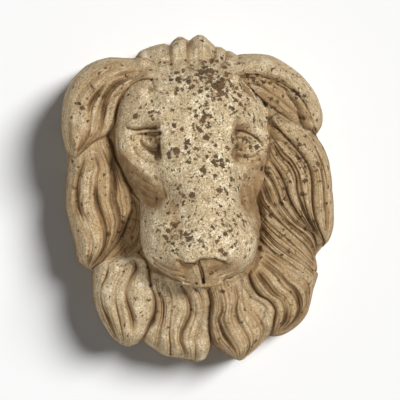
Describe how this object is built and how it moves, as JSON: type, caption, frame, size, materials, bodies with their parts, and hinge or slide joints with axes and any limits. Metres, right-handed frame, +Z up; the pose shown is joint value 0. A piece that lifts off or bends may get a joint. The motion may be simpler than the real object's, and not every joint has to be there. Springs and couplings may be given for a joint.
{
  "type": "garden wall fountain",
  "caption": "Cast stone lion mask wall fountain: water runs from a copper spout hidden in the mouth; the mask hangs by a bar in its hollow back on a hooked wall plate.",
  "frame": {"origin": "middle of the wall plate's back face, on the wall, in the plane of the mask's flat back rim", "axes": "+Z up, +Y into the wall, +X to the right as seen from the front; the lion looks along -Y"},
  "size_m": [0.3764, 0.193, 0.4504],
  "materials": {
    "stone": "weathered cast stone with fine grain, brown patina in the grooves and dark lichen specks",
    "mortar": "rough grey mortar",
    "copper": "dull brown copper",
    "brass": "dull cast and turned brass",
    "plastic": "moulded nylon",
    "galvanised": "hot-dip galvanised steel, spangled and dull"
  },
  "bodies": {
    "wall_bracket": {"wall_plate": "galvanised", "wall_hooks": "galvanised"},
    "mask": {"stone_mask": "stone", "spout_pipe": "copper", "spout_mortar": "mortar", "elbow_body": "brass", "elbow_nuts": "brass", "elbow_olives": "brass", "drop_pipe": "copper", "hose_tail": "brass", "hose_tail_nut": "brass", "hose_tail_olive": "brass", "pipe_clip": "copper", "clip_screws": "brass", "clip_plugs": "plastic", "hanger_bar": "galvanised", "bar_grout": "mortar"}
  },
  "joints": [
    {"name": "lift_off", "type": "slide", "parent": "wall_bracket", "child": "mask", "axis": [0, 0, 1], "range_m": [0, 0.02]}
  ]
}
